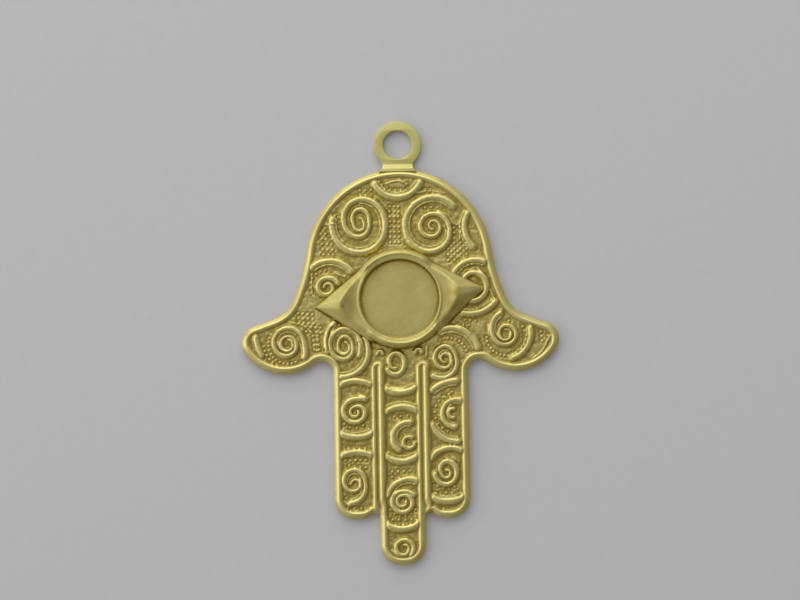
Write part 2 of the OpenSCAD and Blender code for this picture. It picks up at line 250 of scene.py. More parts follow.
relief = {
    "field": 0.90,  # height of the sheet between the ridges
    # section of the rim: distance from the edge, height
    "rim": ((0.0, 0.66), (0.05, 0.78), (0.13, 0.88), (0.25, 0.97), (0.38, 1.06), (0.50, 1.13),
            (0.60, 1.16), (0.70, 1.14), (0.82, 1.05), (0.96, 0.94), (1.10, 0.85), (1.25, 0.82),
            (1.50, 0.88)),
    # the same at the webs, where two fingers part
    "web": ((0.0, 0.84), (0.08, 0.86), (0.20, 0.94), (0.34, 1.05), (0.47, 1.14), (0.58, 1.17),
            (0.70, 1.14), (0.84, 1.05), (0.98, 0.94), (1.10, 0.87), (1.25, 0.84), (1.50, 0.88)),
    # section of a parting from left to right: a narrow rim, a groove and a broad rim
    "parting": ((-1.50, 0.88), (-1.14, 0.84), (-0.98, 0.91), (-0.84, 1.03), (-0.72, 1.13),
                (-0.62, 1.16), (-0.50, 1.12), (-0.38, 0.99), (-0.26, 0.89), (-0.15, 0.90),
                (-0.02, 0.99), (0.11, 1.11), (0.25, 1.18), (0.40, 1.19), (0.56, 1.14),
                (0.74, 1.04), (0.94, 0.93), (1.14, 0.86), (1.30, 0.84), (1.50, 0.88)),
    "webBlend": (0.6, 2.0),  # heights over a web between which the one passes into the other
    "rimWidth": 1.0,
    "rimSeam": 0.04,  # rounding where the ridges meet the rim
    "fadeIn": (0.62, 0.95),  # distances from the edge between which the relief sets in
    "rise": 0.41,  # of a main ridge over the field
    "narrowRise": 0.55,  # share of it that the narrowest ridges keep
    "halfWidth": 0.70,
    "flat": 1.25,  # breadth of its crest
    "innerWidth": 0.42,  # how fast the ridges narrow towards the middle of a scroll
    "innermost": 0.02,  # no point of a scroll lies nearer to its middle
    "scrollStep": 0.08,  # spacing of the points along a scroll
    "fineRadii": 5,  # how many of a scroll's radii its fine line follows
    "fineGap": 0.60,  # from the crest of a ridge to the fine line along its hollow side
    "fineRise": 0.20,
    "fineHalfWidth": 0.17,
    "fineStep": 0.10,
    "fineOnRidge": 0.5,  # share of a fine line's rise where it crosses a ridge
    "groove": 0.09,  # depth of the groove between a ridge and its fine line
    "grooveShift": 0.19,
    "grooveHalfWidth": 0.1,
    "beadRise": 0.36,
    "beadRadius": 0.325,
    "pit": 0.26,  # how far the ground sinks round a bead
    "pitRadius": 0.50,
    "rough": 0.040,  # unevenness of the ground
    "bumps": ((0.45, 5, 1.0), (0.22, 6, 0.6)),  # spacing, seed and share of its bumps
    "bumpCells": 255,  # the bumps repeat after this many
    "bumpShift": 97.3,
    "roughOnRidge": 0.25,  # share of it left on the ridges
    "grid": 0.102,  # spacing of the mesh
}

# scrolls: middle x, y, angle of the outer end in degrees, distances of the crest from the middle
# there and at each quarter turn after it, half width to the usual, fine line inside (1) or none (0)
scrolls = (
    (-4.95, 15.30, 175,
     (3.55, 3.60, 3.85, 3.22, 3.05, 2.10, 1.80, 1.20, 1.75, 0.88, 1.05, 0.50, 0.60), 1.0, 1),
    (4.40, 14.70, 45,
     (3.75, 3.80, 3.60, 3.20, 2.05, 1.65, 1.65, 1.30, 0.90, 0.70, 0.50, 0.40), 1.0, 1),
    (-9.25, 7.05, 20, (1.45, 1.20, 1.20, 0.95, 0.70, 0.45, 0.40), 0.85, 0),
    (9.35, 7.00, 215, (1.9, 1.95, 1.75, 1.65, 1.3, 0.9), 0.9, 0),
    (-14.30, 0.00, -42,
     (2.80, 2.00, 1.88, 1.90, 1.68, 1.00, 0.80, 0.95, 1.05, 0.50, 0.35), 0.9, 1),
    (13.40, 0.70, 103, (2.75, 1.65, 1.35, 1.35, 1.10, 0.75, 0.80, 0.60), 0.9, 1),
    (-7.05, -0.45, -35,
     (2.20, 1.95, 2.15, 1.90, 1.75, 0.95, 1.15, 0.90, 1.10, 0.45, 0.40), 0.85, 1),
    (-0.60, -2.90, 213, (1.35, 1.35, 1.05, 1.38, 0.82, 0.60), 0.8, 0),
    (5.70, -2.35, 234, (2.70, 2.42, 1.38, 1.62, 1.38, 1.20, 0.70, 0.65, 0.55, 0.45), 0.9, 1),
    (-5.90, -8.90, 52, (2.00, 1.58, 1.50, 1.40, 1.25, 0.60, 0.62, 0.70, 0.40), 0.9, 0),
    (-6.10, -18.10, 257, (2.60, 2.35, 1.38, 1.80, 1.28, 0.92, 0.75, 0.50, 0.40), 0.9, 1),
    (0.00, -20.40, 30, (1.60, 1.25, 1.33, 1.38, 1.18, 0.75, 0.72, 0.66, 0.40), 0.85, 0),
    (0.10, -26.25, -45, (1.30, 1.15, 0.98, 1.05, 0.90, 0.55, 0.35), 0.75, 0),
    (6.75, -9.30, 55, (1.90, 1.72, 1.55, 1.80), 0.9, 1),
    (6.60, -9.30, 80, (0.55, 0.55, 0.60, 0.60), 0.6, 0),
    (5.60, -16.90, 184, (1.50, 1.45, 1.28, 1.50, 0.68, 0.62, 0.50, 0.40), 0.85, 0),
)

# single curved ridges: centre x, y, radius, start and sweep in degrees, half width, and a fine line
# inside (1), outside (-1) or none (0)
bows = (
    (-0.10, 21.75, 3.20, 207, 128, 1.00, 1),  # under the top of the crown
    (12.00, 14.60, 3.60, 152, 74, 0.90, -1),  # right flank
    (-8.90, 6.95, 3.50, 38, 92, 0.95, 1),  # over the left corner of the eye
    (9.70, 7.20, 3.10, 68, 84, 0.95, 1),  # over the right corner
    (9.00, 7.60, 4.20, 257, 62, 0.95, 1),  # under the right corner
    (-13.70, 1.00, 4.75, 183, 30, 0.80, 0),  # left thumb
    (13.20, 0.90, 3.45, -72, 80, 0.90, 1),  # right thumb
    (-6.20, 0.00, 3.35, 132, 70, 0.80, 1),  # palm
    (-7.50, -1.10, 3.40, -95, 122, 0.90, 1),
    (6.50, -1.90, 3.50, 15, 100, 1.00, 1),
    (-2.60, -1.60, 0.35, 0, 180, 0.55, 0),  # roots of the fingers
    (2.30, -1.45, 0.40, 0, 180, 0.60, 0),
    (-5.80, -9.40, 4.40, 64, 52, 0.95, 0),  # left finger
    (-5.75, -7.80, 4.35, 244, 52, 0.95, 1),
    (-5.75, -18.40, 4.35, 65, 51, 0.95, 0),
    (-0.20, -2.95, 3.60, 238, 65, 1.00, 1),  # middle finger
    (0.10, -11.90, 3.55, 57, 68, 0.95, -1),
    (0.85, -12.35, 2.00, 82, 150, 0.90, 1),
    (0.90, -12.95, 0.72, 60, 290, 0.65, 0),
    (-0.05, -12.05, 3.25, 232, 72, 1.00, 1),
    (0.80, -20.40, 2.80, 66, 98, 0.95, 1),
    (-0.10, -20.25, 3.60, 236, 68, 1.00, 0),
    (7.20, -10.20, 5.05, 92, 38, 1.00, 1),  # right finger
    (7.30, -9.20, 3.75, 205, 62, 0.95, 1),
    (6.20, -16.90, 3.20, 64, 80, 0.90, 0),
    (5.70, -16.45, 3.98, 242, 56, 1.00, 1),
)

# fine lines between the scrolls, each through a few points
fineLines = (
    ((-3.0, 18.7), (-2.0, 17.9), (-1.0, 16.5)),
    ((-9.2, 15.15), (-7.7, 15.15)),
    ((-1.6, 20.25), (0.0, 20.65), (1.3, 20.2)),
    ((2.5, 19.0), (4.2, 19.25), (6.0, 18.9)),
    ((4.9, 16.8), (6.3, 16.1), (7.1, 15.0), (7.6, 14.8)),
    ((7.8, 15.3), (7.8, 12.9)),
    ((-8.3, 8.85), (-7.0, 8.35)),
    ((-11.2, 8.6), (-11.15, 6.4), (-10.8, 5.7)),
    ((9.1, 9.15), (10.1, 9.12), (11.4, 7.6)),
    ((11.6, 6.4), (12.1, 5.2)),
    ((9.2, 3.95), (10.1, 4.2), (11.7, 5.0)),
    ((-13.9, 2.55), (-12.2, 2.1), (-11.2, 1.1)),
    ((11.2, 1.9), (11.3, 0.5)),
    ((19.1, 0.4), (18.1, -1.5), (16.9, -2.5)),
    ((-9.45, -1.1), (-9.45, 0.3), (-9.0, 1.75), (-8.1, 2.4)),
    ((-7.7, 1.25), (-6.25, 1.0), (-5.4, 0.0)),
    ((7.2, 2.0), (8.2, 1.5), (9.0, 0.8)),
    ((3.4, -0.6), (3.3, -2.0)),
    ((-5.4, -6.7), (-4.5, -7.0)),
    ((-1.35, -6.0), (0.0, -6.1), (0.9, -5.75)),
    ((6.4, -14.9), (7.3, -15.5)),
    ((-1.45, -26.6), (-0.6, -27.4)),
    ((-6.6, -21.45), (-5.7, -21.55)),
)

# single beads
beads = ((-2.00, 20.20), (1.15, 20.15), (-8.10, 16.30), (13.90, 2.30), (18.80, 0.40),
         (5.75, -2.00), (-7.10, -19.95), (0.35, -26.55), (6.50, -6.65), (5.20, -21.50))

# rows of beads: first x, y, last x, y, number
beadRows = (
    (-1.70, 19.50, 1.05, 19.40, 5),
    (-7.60, 16.00, -7.60, 15.40, 2),
    (3.50, 19.40, 4.15, 19.40, 2),
    (3.50, 17.10, 5.00, 17.10, 3),
    (9.40, 3.95, 10.20, 4.20, 2),
    (-10.60, 0.35, -10.65, -1.10, 3),
    (18.00, 0.90, 18.10, -0.30, 3),
    (7.40, 1.95, 8.80, 1.85, 3),
    (-6.80, -13.55, -4.65, -13.60, 4),
    (-6.70, -15.80, -4.60, -16.10, 4),
    (-7.20, -15.15, -4.60, -15.15, 5),
    (-6.65, -18.20, -6.20, -17.85, 2),
    (-6.90, -21.20, -5.25, -21.25, 3),
    (-0.90, -9.70, 0.80, -9.60, 3),
    (-1.25, -16.65, 1.00, -16.60, 4),
    (-1.25, -17.35, -0.45, -17.35, 2),
    (-1.30, -22.75, 1.10, -22.75, 4),
    (-0.90, -23.30, 0.90, -23.20, 3),
    (5.65, -7.30, 6.20, -7.20, 2),
    (6.15, -13.25, 6.75, -13.30, 2),
    (4.85, -19.45, 7.00, -19.50, 4),
)

# nets of beads: first bead x, y, steps along and across, number along and across
beadNets = (
    (-1.05, 17.30, (0.55, 0.0), (0.0, -0.66), 3, 8),
    (-10.05, 14.60, (0.62, -0.03), (0.08, -0.68), 3, 6),
    (-4.90, 19.45, (0.72, 0.0), (0.05, -0.58), 3, 2),
    (7.15, 14.45, (0.70, 0.0), (0.0, -0.68), 2, 3),
    (6.35, 12.45, (0.78, 0.0), (0.0, -0.73), 4, 4),
    (-13.00, 3.70, (0.62, -0.05), (0.05, -0.60), 4, 3),
    (-12.00, 1.95, (0.62, -0.05), (0.05, -0.60), 4, 2),
    (-11.10, 0.80, (0.60, -0.02), (0.05, -0.60), 2, 4),
    (8.30, 2.60, (0.70, -0.10), (0.05, -0.70), 3, 1),
)

# beads along arcs: centre x, y, radius, angles of the first and last bead in degrees, number
beadArcs = (
    (6.15, -2.20, 2.45, 115, 20, 9),  # over the right palm scroll
    (13.50, 0.35, 2.45, 182, 300, 11),  # round the right thumb scroll
    (13.50, 0.35, 2.50, 320, 390, 6),
    (-14.30, -0.20, 2.55, 150, 292, 13),  # round the left thumb scroll
    (-14.30, -0.20, 3.10, 185, 275, 9),
    (-7.05, -0.60, 2.75, 152, 196, 4),
    (6.75, -9.30, 2.45, 105, 250, 9),  # round the upper curl of the right finger
    (-5.90, -8.90, 2.15, 230, 300, 4),
    (5.60, -16.90, 2.05, 215, 300, 5),
    (0.00, -20.40, 1.95, 215, 325, 6),
    (-9.25, 7.05, 2.15, 95, 200, 7),
    (9.35, 7.00, 2.70, 100, 150, 4),
)


# the line of a scroll's crest, or the line that lies offset further out
def scrollLine(x, y, start, radii, offset=0.0):
    angles = [start] + [90 * (math.floor(start / 90) + turn) for turn in range(1, len(radii))]
    angle, radius = through(list(zip(angles, radii))).T
    angle = np.radians(angle)
    radius = np.maximum(radius + offset, relief["innermost"])
    line = np.c_[x + radius * np.cos(angle), y + radius * np.sin(angle)]
    return evenly(line, relief["scrollStep"], closed=False)


# distance to the line and its nearest point, for the points within reach of its box
def awayFromLine(points, line, reach):
    low, high = line.min(0) - reach, line.max(0) + reach
    near = np.flatnonzero(((points > low) & (points < high)).all(1))
    return (near,) + nearestOn(points[near], line, closed=False)


# distance of each point from an arc
def awayFromArc(points, x, y, radius, start, sweep):
    dx, dy = points[:, 0] - x, points[:, 1] - y
    turn = (np.arctan2(dy, dx) - start) % (2 * math.pi)
    distance = np.abs(np.hypot(dx, dy) - radius)
    ends = np.full(len(points), np.inf)
    for angle in (start, start + sweep):
        ex, ey = x + radius * math.cos(angle), y + radius * math.sin(angle)
        ends = np.minimum(ends, np.hypot(points[:, 0] - ex, points[:, 1] - ey))
    return np.where(turn <= sweep, distance, ends)


# the greater of the two, rounded where they meet
def smoothMax(a, b, soft):
    share = np.clip(0.5 + 0.5 * (a - b) / soft, 0, 1)
    return b + (a - b) * share + soft * share * (1 - share)


def smoothMin(a, b, soft):
    return -smoothMax(-a, -b, soft)


# 0 at low, 1 at high and beyond, and smooth between
def smoothStep(low, high, x):
    t = np.clip((x - low) / (high - low), 0, 1)
    return t * t * (3 - 2 * t)


# smooth bumps between -1 and 1, scale mm apart
def noiseField(points, scale, seed):
    cells = relief["bumpCells"]
    lattice = np.random.default_rng(seed).uniform(-1, 1, (cells + 1, cells + 1))
    at = points / scale + relief["bumpShift"]
    cell = np.floor(at).astype(int)
    x, y = smoothStep(0, 1, at - cell).T
    i, j = (cell % cells).T
    low = lattice[i, j] * (1 - x) + lattice[i + 1, j] * x
    high = lattice[i, j + 1] * (1 - x) + lattice[i + 1, j + 1] * x
    return low * (1 - y) + high * y


# section of a ridge: 1 on the crest, 0 from half on; flat over 1 broadens the crest
def wave(away, half, flat=1.0):
    return 0.5 + 0.5 * np.cos(math.pi * np.clip(away / half, 0, 1) ** flat)


# height on a section, which is a table of distances and heights
def section(table, away):
    return np.interp(away, *np.array(table).T)


# height of the rims beside a parting, which pass into the rounder ones at its web
def partingHeight(points, parting):
    r, s = relief, handShape
    across = np.abs(points[:, 0]) - s["fingerWidth"] / 2
    across = np.where(points[:, 0] < 0, -across, across)
    rightShare = 0.5 + 0.5 * across / np.maximum(parting, 1e-6)
    left, right = section(r["parting"], -parting), section(r["parting"], parting)
    blendFrom, blendTo = (s["outerTip"] + s["webStop"] + over for over in r["webBlend"])
    aboveWeb = smoothStep(blendFrom, blendTo, points[:, 1])
    web = section(r["web"], parting)
    return web + (left + (right - left) * rightShare - web) * aboveWeb


# the middles of all beads
def beadPlaces():
    places = list(beads)
    for x1, y1, x2, y2, count in beadRows:
        places += [(x1 + share * (x2 - x1), y1 + share * (y2 - y1))
                   for share in np.linspace(0, 1, count)]
    for x, y, a, b, along, across in beadNets:
        places += [(x + i * a[0] + j * b[0], y + i * a[1] + j * b[1])
                   for i in range(along) for j in range(across)]
    for x, y, radius, first, last, count in beadArcs:
        places += [(x + radius * math.cos(turn), y + radius * math.sin(turn))
                   for turn in np.radians(np.linspace(first, last, count))]
    return places


# height of the stamped front over the table, and how bare the ground is there
def reliefHeight(points, outside, parting):
    r = relief
    everywhere = np.arange(len(points))
    ridge, fine, groove, bead, pit = np.zeros((5, len(points)))
    # a fine line and the groove beside it: layer, shift towards the ridge, height, half width
    fineParts = ((fine, 0.0, r["fineRise"], r["fineHalfWidth"]),
                 (groove, r["grooveShift"], r["groove"], r["grooveHalfWidth"]))

    def raiseTo(layer, near, height):
        layer[near] = np.maximum(layer[near], height)

    def raiseRidge(near, away, half):
        rise = r["rise"] * (r["narrowRise"] + (1 - r["narrowRise"]) * half / r["halfWidth"])
        raiseTo(ridge, near, rise * wave(away, half, r["flat"]))

    for x, y, start, radii, width, side in scrolls:
        near, away, foot = awayFromLine(points, scrollLine(x, y, start, radii), r["halfWidth"])
        share = np.hypot(foot[:, 0] - x, foot[:, 1] - y) / radii[0]
        share = np.clip(share, r["innermost"], 1)
        raiseRidge(near, away, r["halfWidth"] * width * share ** r["innerWidth"])
        if side:
            for layer, shift, rise, half in fineParts:
                offset = shift - r["fineGap"] * width
                line = scrollLine(x, y, start, radii[:r["fineRadii"]], offset)
                near, away, foot = awayFromLine(points, line, half)
                raiseTo(layer, near, rise * wave(away, half))
    for x, y, radius, start, sweep, width, side in bows:
        start, sweep = math.radians(start), math.radians(sweep)
        away = awayFromArc(points, x, y, radius, start, sweep)
        raiseRidge(everywhere, away, r["halfWidth"] * width)
        if side:
            for layer, shift, rise, half in fineParts:
                inner = radius - side * r["fineGap"] * width + side * shift
                away = awayFromArc(points, x, y, inner, start, sweep)
                raiseTo(layer, everywhere, rise * wave(away, half))
    for line in fineLines:
        line = evenly(through(line), r["fineStep"], closed=False)
        near, away, foot = awayFromLine(points, line, r["fineHalfWidth"])
        raiseTo(fine, near, r["fineRise"] * wave(away, r["fineHalfWidth"]))
    for place in beadPlaces():
        near = np.flatnonzero((np.abs(points - place) < r["pitRadius"]).all(1))
        away = np.hypot(*(points[near] - place).T)
        raiseTo(bead, near, r["beadRise"] * wave(away, r["beadRadius"]))
        raiseTo(pit, near, r["pit"] * wave(away, r["pitRadius"]))

    ground = r["rough"] * sum(share * noiseField(points, spacing, seed)
                              for spacing, seed, share in r["bumps"])
    bare = 1 - np.clip(ridge / r["rise"], 0, 1)
    onRidge, rough = (share + (1 - share) * bare for share in (r["fineOnRidge"], r["roughOnRidge"]))
    edge = np.minimum(outside, parting)
    inField = smoothStep(*r["fadeIn"], edge)
    raised = ridge + (fine - groove) * onRidge + (bead - pit) * bare + ground * rough
    height = r["field"] + raised * inField
    rim = np.where(outside < parting, section(r["rim"], outside), partingHeight(points, parting))
    withRim = smoothMax(rim, height - r["rimSeam"] / 2, r["rimSeam"])
    return np.where(edge < r["rimWidth"], withRim, height), bare * inField


# Eye: almond with two ridged corners, a channel and the collar round the empty stone seat

eyeShape = {
    "y": 5.35,  # centre
    # section of the seat and collar above and below the eye: distance from the centre, height
    "collar": ((0.0, 1.50), (4.93, 1.50), (4.98, 1.56), (5.02, 1.75), (5.07, 1.93), (5.14, 2.01),
               (5.25, 2.04), (5.45, 2.07), (5.57, 2.10), (5.65, 2.15), (5.73, 2.20), (5.81, 2.20),
               (5.90, 2.13), (6.02, 2.03), (6.15, 1.91), (6.27, 1.77), (6.36, 1.53), (6.43, 1.20),
               (6.49, 0.85), (6.65, 0.30), (12.0, -6.0)),
    # the same between the two sides of a corner, where it is a thin ring
    "thinCollar": ((0.0, 1.50), (4.93, 1.50), (4.98, 1.56), (5.02, 1.75), (5.07, 1.91),
                   (5.14, 1.99), (5.24, 2.03), (5.33, 2.00), (5.43, 1.88), (5.54, 1.68),
                   (5.80, 1.10), (12.0, -6.0)),
    "lift": 0.08,  # the collar's outer side is centred this far above the seat
    "liftOver": (5.5, 6.2),  # distances from the centre between which that sets in
    # straight sides of each corner (direction they face in degrees, distance from the centre), how
    # fast the channel rises, and how blunt the tip is
    "corners": (
        ((129.5, 6.36), (237.4, 6.78), 0.155, 0.15),
        ((-46.5, 6.68), (63.0, 6.28), 0.19, 0.40),
    ),
    "slope": 0.75,  # of the corner facets
    "foot": 0.39,  # steep step up from the sheet to the facets
    "footWidth": 0.34,
    "channel": 1.92,  # height of the channel beside the collar
    "channelRadius": 5.45,
    "softRidge": 0.80,  # rounding of the corner ridges, for each mm they rise
    "softCrest": 0.28,  # rounding of the brow where the channel cuts the corners
    "thinOver": (4, 32),  # degrees inside a corner's sides over which the collar grows thin
    "cornerFrom": 5.3,  # a corner begins this far from the centre
    "cornerBeside": -30,  # and ends this many degrees outside its sides
    "endDrop": 1.6,  # its facets lie this much lower there
    "endOver": (-18, 8),  # degrees over which they rise from that
    "under": -6.0,  # a height well below the sheet
    "seam": 0.24,  # rounding where a corner meets the collar
    "rays": 480,
    "edgeSearch": (6.0, 11.6, 0.01),  # distances at which the edge is looked for
    "edgeSink": 0.04,  # the edge lies this much below the sheet's height
}


def wrapDegrees(angle):
    return (angle + 180) % 360 - 180


# x and y of the points at these distances along each ray
def polar(angles, distances):
    return distances * np.cos(angles)[:, None], distances * np.sin(angles)[:, None]


# height of the eye at x, y from its centre
def eyeHeight(x, y):
    s = eyeShape
    distance = np.hypot(x, y)
    angle = np.degrees(np.arctan2(y, x))
    lifted = np.hypot(x, y - s["lift"] * smoothStep(*s["liftOver"], distance))
    height = section(s["collar"], lifted)
    thin = section(s["thinCollar"], distance)
    for first, second, rise, blunt in s["corners"]:
        sides = [reach - x * math.cos(math.radians(turn)) - y * math.sin(math.radians(turn))
                 for turn, reach in (first, second)]
        inside = smoothMin(*sides, blunt + s["softRidge"] * np.maximum(np.minimum(*sides), 0))
        step = s["foot"] * smoothStep(0, s["footWidth"], inside)
        facets = relief["field"] + s["slope"] * inside + step
        channel = s["channel"] + rise * np.maximum(distance - s["channelRadius"], 0) ** 2
        corner = smoothMin(facets, channel, s["softCrest"])
        # degrees inside the corner's sides, less than 0 outside them
        within = np.minimum(wrapDegrees(angle - first[0]), wrapDegrees(second[0] - angle))
        height = height + (thin - height) * smoothStep(*s["thinOver"], within)
        corner = corner - s["endDrop"] * (1 - smoothStep(*s["endOver"], within))
        here = (distance > s["cornerFrom"]) & (within >= s["cornerBeside"])
        height = smoothMax(height, np.where(here, corner, s["under"]), s["seam"])
    return height


# for each ray from the centre, how far out the eye's surface meets the sheet
def eyeEdge():
    s = eyeShape
    angles = np.linspace(0, 2 * math.pi, s["rays"], endpoint=False)
    reach = np.arange(*s["edgeSearch"])
    over = eyeHeight(*polar(angles, reach)) > relief["field"] - s["edgeSink"]
    last = over.shape[1] - 1 - np.argmax(over[:, ::-1], axis=1)
    return angles, reach[last]


# the points at these distances from the eye's centre, in the pendant's own place
def roundEye(angles, reach):
    return np.c_[np.cos(angles), np.sin(angles)] * reach[:, None] + [0, eyeShape["y"]]


# Mesh helpers

def makeObject(name, vertices, faces):
    mesh = bpy.data.meshes.new(name)
    mesh.from_pydata([tuple(v) for v in np.asarray(vertices) * unit], [], faces)
    mesh.validate()
    mesh.shade_smooth()
    return addObject(name, mesh)


# a tone for every point, which the metal's nodes read and paint as shade, dirt and tarnish: 0 for
# those after the given ones
def addTone(made, tones):
    layer = made.data.attributes.new("proud", "FLOAT", "POINT")
    values = np.zeros(len(layer.data), np.float32)
    values[:len(tones)] = tones
    layer.data.foreach_set("value", values)


# mean of the known values round each grid point
def blurred(field, known, radius):
    layers = [np.where(known, field, 0.0), known.astype(float)]
    size = 2 * radius + 1
    for axis in (0, 1, 0, 1):
        margin = [(0, 0), (0, 0)]
        margin[axis] = (radius + 1, radius)
        for index, layer in enumerate(layers):
            sums = np.cumsum(np.pad(layer, margin), axis=axis)
            ahead = np.take(sums, range(size, sums.shape[axis]), axis=axis)
            behind = np.take(sums, range(0, sums.shape[axis] - size), axis=axis)
            layers[index] = (ahead - behind) / size
    total, weight = layers
    return total / np.maximum(weight, 1e-6)


# how hollow (below 0) or proud each grid point lies among its neighbours
def hollowTone(height, known, tones):
    wide = height - blurred(height, known, tones["wideCells"])
    close = height - blurred(height, known, tones["closeCells"])
    return tones["wideShare"] * wide + tones["closeShare"] * np.minimum(close, 0)


# Hand

handTones = {
    "wideCells": 7,  # half the breadth of the neighbourhoods, in grid cells
    "closeCells": 2,
    "wideShare": 0.5,
    "closeShare": 1.3,
    # painted shade and dirt: the bare ground and the hollows are darkened
    "bare": 0.05,  # darker tone of the bare ground
    "shadeAndDirtFrom": (0.25, 0.8),  # distances from the outline over which hollows begin to darken
    "flank": 0.05,  # darker tone of the rim's outer flank
    "flankOver": (0.15, 0.5),
    # painted shade on the flank turned away from the light, along the right side of each parting
    "parting": 0.10,  # darker tone along the right side of each parting
    "partingShift": 0.68,
    "partingOver": (0.25, 0.55),
}


# faces of the grid: squares with all four corners, and triangles where one is missing
def gridFaces(kept, snapped):
    index = np.arange(kept.size).reshape(kept.shape)
    corners = np.stack([index[:-1, :-1], index[:-1, 1:], index[1:, 1:], index[1:, :-1]], axis=-1)
    corners = corners.reshape(-1, 4)
    good, onEdge = kept.ravel()[corners], snapped[corners]
    faces = corners[good.all(1) & ~onEdge.all(1)].tolist()
    for gap in range(4):
        three = [c for c in range(4) if c != gap]
        part = (good.sum(1) == 3) & ~good[:, gap] & ~onEdge[:, three].all(1)
        faces += corners[part][:, three].tolist()
    return faces


# tone of the stamped front: painted shade and dirt in its hollows and on the bare ground, a darker
# rim's outer flank, and painted shade beside each parting
def handTone(points, outside, over, height, bare, known):
    t = handTones
    tone = hollowTone(height.reshape(known.shape), known, t).ravel() - t["bare"] * bare
    tone = np.where(tone < 0, tone * smoothStep(*t["shadeAndDirtFrom"], outside), tone)
    tone = tone - t["flank"] * (1 - smoothStep(*t["flankOver"], outside))
    # painted shade beside each parting
    half = handShape["fingerWidth"] / 2
    shifted = points[:, 0] - t["partingShift"]
    beside = np.hypot(np.minimum(np.abs(shifted - half), np.abs(shifted + half)), over)
    return tone - t["parting"] * (1 - smoothStep(*t["partingOver"], beside))


def makeHand():
    step = relief["grid"]
    outline = handOutline()
    angles, eyeReach = eyeEdge()
    hole = evenly(roundEye(angles, eyeReach - eyeMesh["sheetUnder"]))
    low, high = outline.min(0) - step, outline.max(0) + step
    columns = int((high[0] - low[0]) / step) + 1
    rows = int((high[1] - low[1]) / step) + 1
    gridX = -(columns // 2) * step + step * np.arange(columns + 1)
    gridY = low[1] + step * np.arange(rows + 1)
    grid = np.array(np.meshgrid(gridX, gridY)).reshape(2, -1).T
    away, foot = nearestOn(grid, outline)
    signed = np.where(insideOf(grid, outline), away, -away)
    holeAway, holeFoot = nearestOn(grid, hole)
    holeSigned = np.where(insideOf(grid, hole), -holeAway, holeAway)
    atHole = holeSigned < signed
    depth = np.where(atHole, holeSigned, signed)
    foot = np.where(atHole[:, None], holeFoot, foot)
    snapped = np.abs(depth) < 0.5 * step
    points = np.where(snapped[:, None], foot, grid)
    kept = (depth > -0.5 * step).reshape(rows + 1, columns + 1)
    # rim edges: the outline and the lines between the fingers
    outside = np.where(snapped & ~atHole, 0.0, np.maximum(signed, 0))
    webY = handShape["outerTip"] + handShape["webStop"]
    over = points[:, 1] - np.clip(points[:, 1], webY, handShape["partingTop"])
    parting = np.hypot(np.abs(points[:, 0]) - handShape["fingerWidth"] / 2, over)
    height, bare = reliefHeight(points, outside, parting)

    faces = gridFaces(kept, snapped)
    used = np.unique(np.concatenate([np.ravel(f) for f in faces]))
    renumber = np.full(len(points), -1)
    renumber[used] = range(len(used))
    faces = [[int(renumber[c]) for c in f] for f in faces]
    vertices = np.c_[points[used], height[used]]
    proud = handTone(points, outside, over, height, bare, kept)[used]
    # side wall and flat back
    loops = boundaryLoops(faces)
    outer = max(loops, key=lambda loop: np.ptp(vertices[loop][:, 0]))
    vertices, faces = addWallAndBack(vertices, faces, outer)
    hand = makeObject("hand", vertices, faces)
    addTone(hand, proud)
    return hand


# closed loops of the edges that only one face uses
def boundaryLoops(faces):
    follow = {}
    seen = set()
    for face in faces:
        for a, b in zip(face, face[1:] + face[:1]):
            seen.add((a, b))
    for a, b in seen:
        if (b, a) not in seen:
            follow.setdefault(a, []).append(b)
    loops = []
    while follow:
        start = next(iter(follow))
        loop = [start]
        at = start
        while True:
            nexts = follow[at]
            to = nexts.pop()
            if not nexts:
                del follow[at]
            if to == start:
                break
            loop.append(to)
            at = to
            if at not in follow:
                break
        loops.append(loop)
    return loops


sheetBack = {
    "bevel": 0.06,  # width of the bevel round the back edge
    "metal": 0.80,  # thickness of the metal over the hollow
    "seatRadius": 5.3,
    "underSeat": 0.70,  # height of the hollow under the seat
    "highest": 1.75,
    "rays": 240,
    "edgeSearch": (5.4, 10.6, 0.02),  # distances at which the hollow's edge is looked for
    "edgeHeight": 0.05,
    "furthest": 9.6,  # the hollow ends here at the latest
}


# wall below the outer loop, and the back with the opening of the eye's hollow
def addWallAndBack(vertices, faces, outer):
    edge = vertices[outer][:, :2]
    count = len(outer)
    bevel = sheetBack["bevel"]
    rings = [np.c_[edge, np.full(count, bevel)], np.c_[inward(edge, bevel), np.zeros(count)]]
    numbers = [list(outer)]
    for ring in rings:
        first = len(vertices)
        vertices = np.vstack([vertices, ring])
        numbers.append(list(range(first, first + count)))
    for upper, lower in zip(numbers, numbers[1:]):
        for i in range(count):
            j = (i + 1) % count
            faces.append([upper[j], upper[i], lower[i], lower[j]])
    opening = roundEye(*hollowEdge())
    first = len(vertices)
    vertices = np.vstack([vertices, np.c_[opening, np.zeros(len(opening))]])
    loop = numbers[-1] + list(range(first, first + len(opening)))
    flat = [[Vector((*vertices[i][:2], 0)) for i in part] for part in (numbers[-1], loop[count:])]
    for triangle in geometry.tessellate_polygon(flat):
        a, b, c = (vertices[loop[i]] for i in triangle)
        turn = (b[0] - a[0]) * (c[1] - a[1]) - (b[1] - a[1]) * (c[0] - a[0])
        order = triangle if turn < 0 else triangle[::-1]
        if abs(turn) > 1e-9:
            faces.append([loop[i] for i in order])
    return vertices, faces


# the loop moved into the sheet by width
def inward(loop, width):
    along = np.roll(loop, -1, axis=0) - np.roll(loop, 1, axis=0)
    normal = np.c_[-along[:, 1], along[:, 0]] / np.maximum(np.hypot(*along.T), 1e-9)[:, None]
    return loop + normal * width * np.sign(turnOf(loop))


def turnOf(loop):
    x, y = loop.T
    return (x * np.roll(y, -1) - np.roll(x, -1) * y).sum()


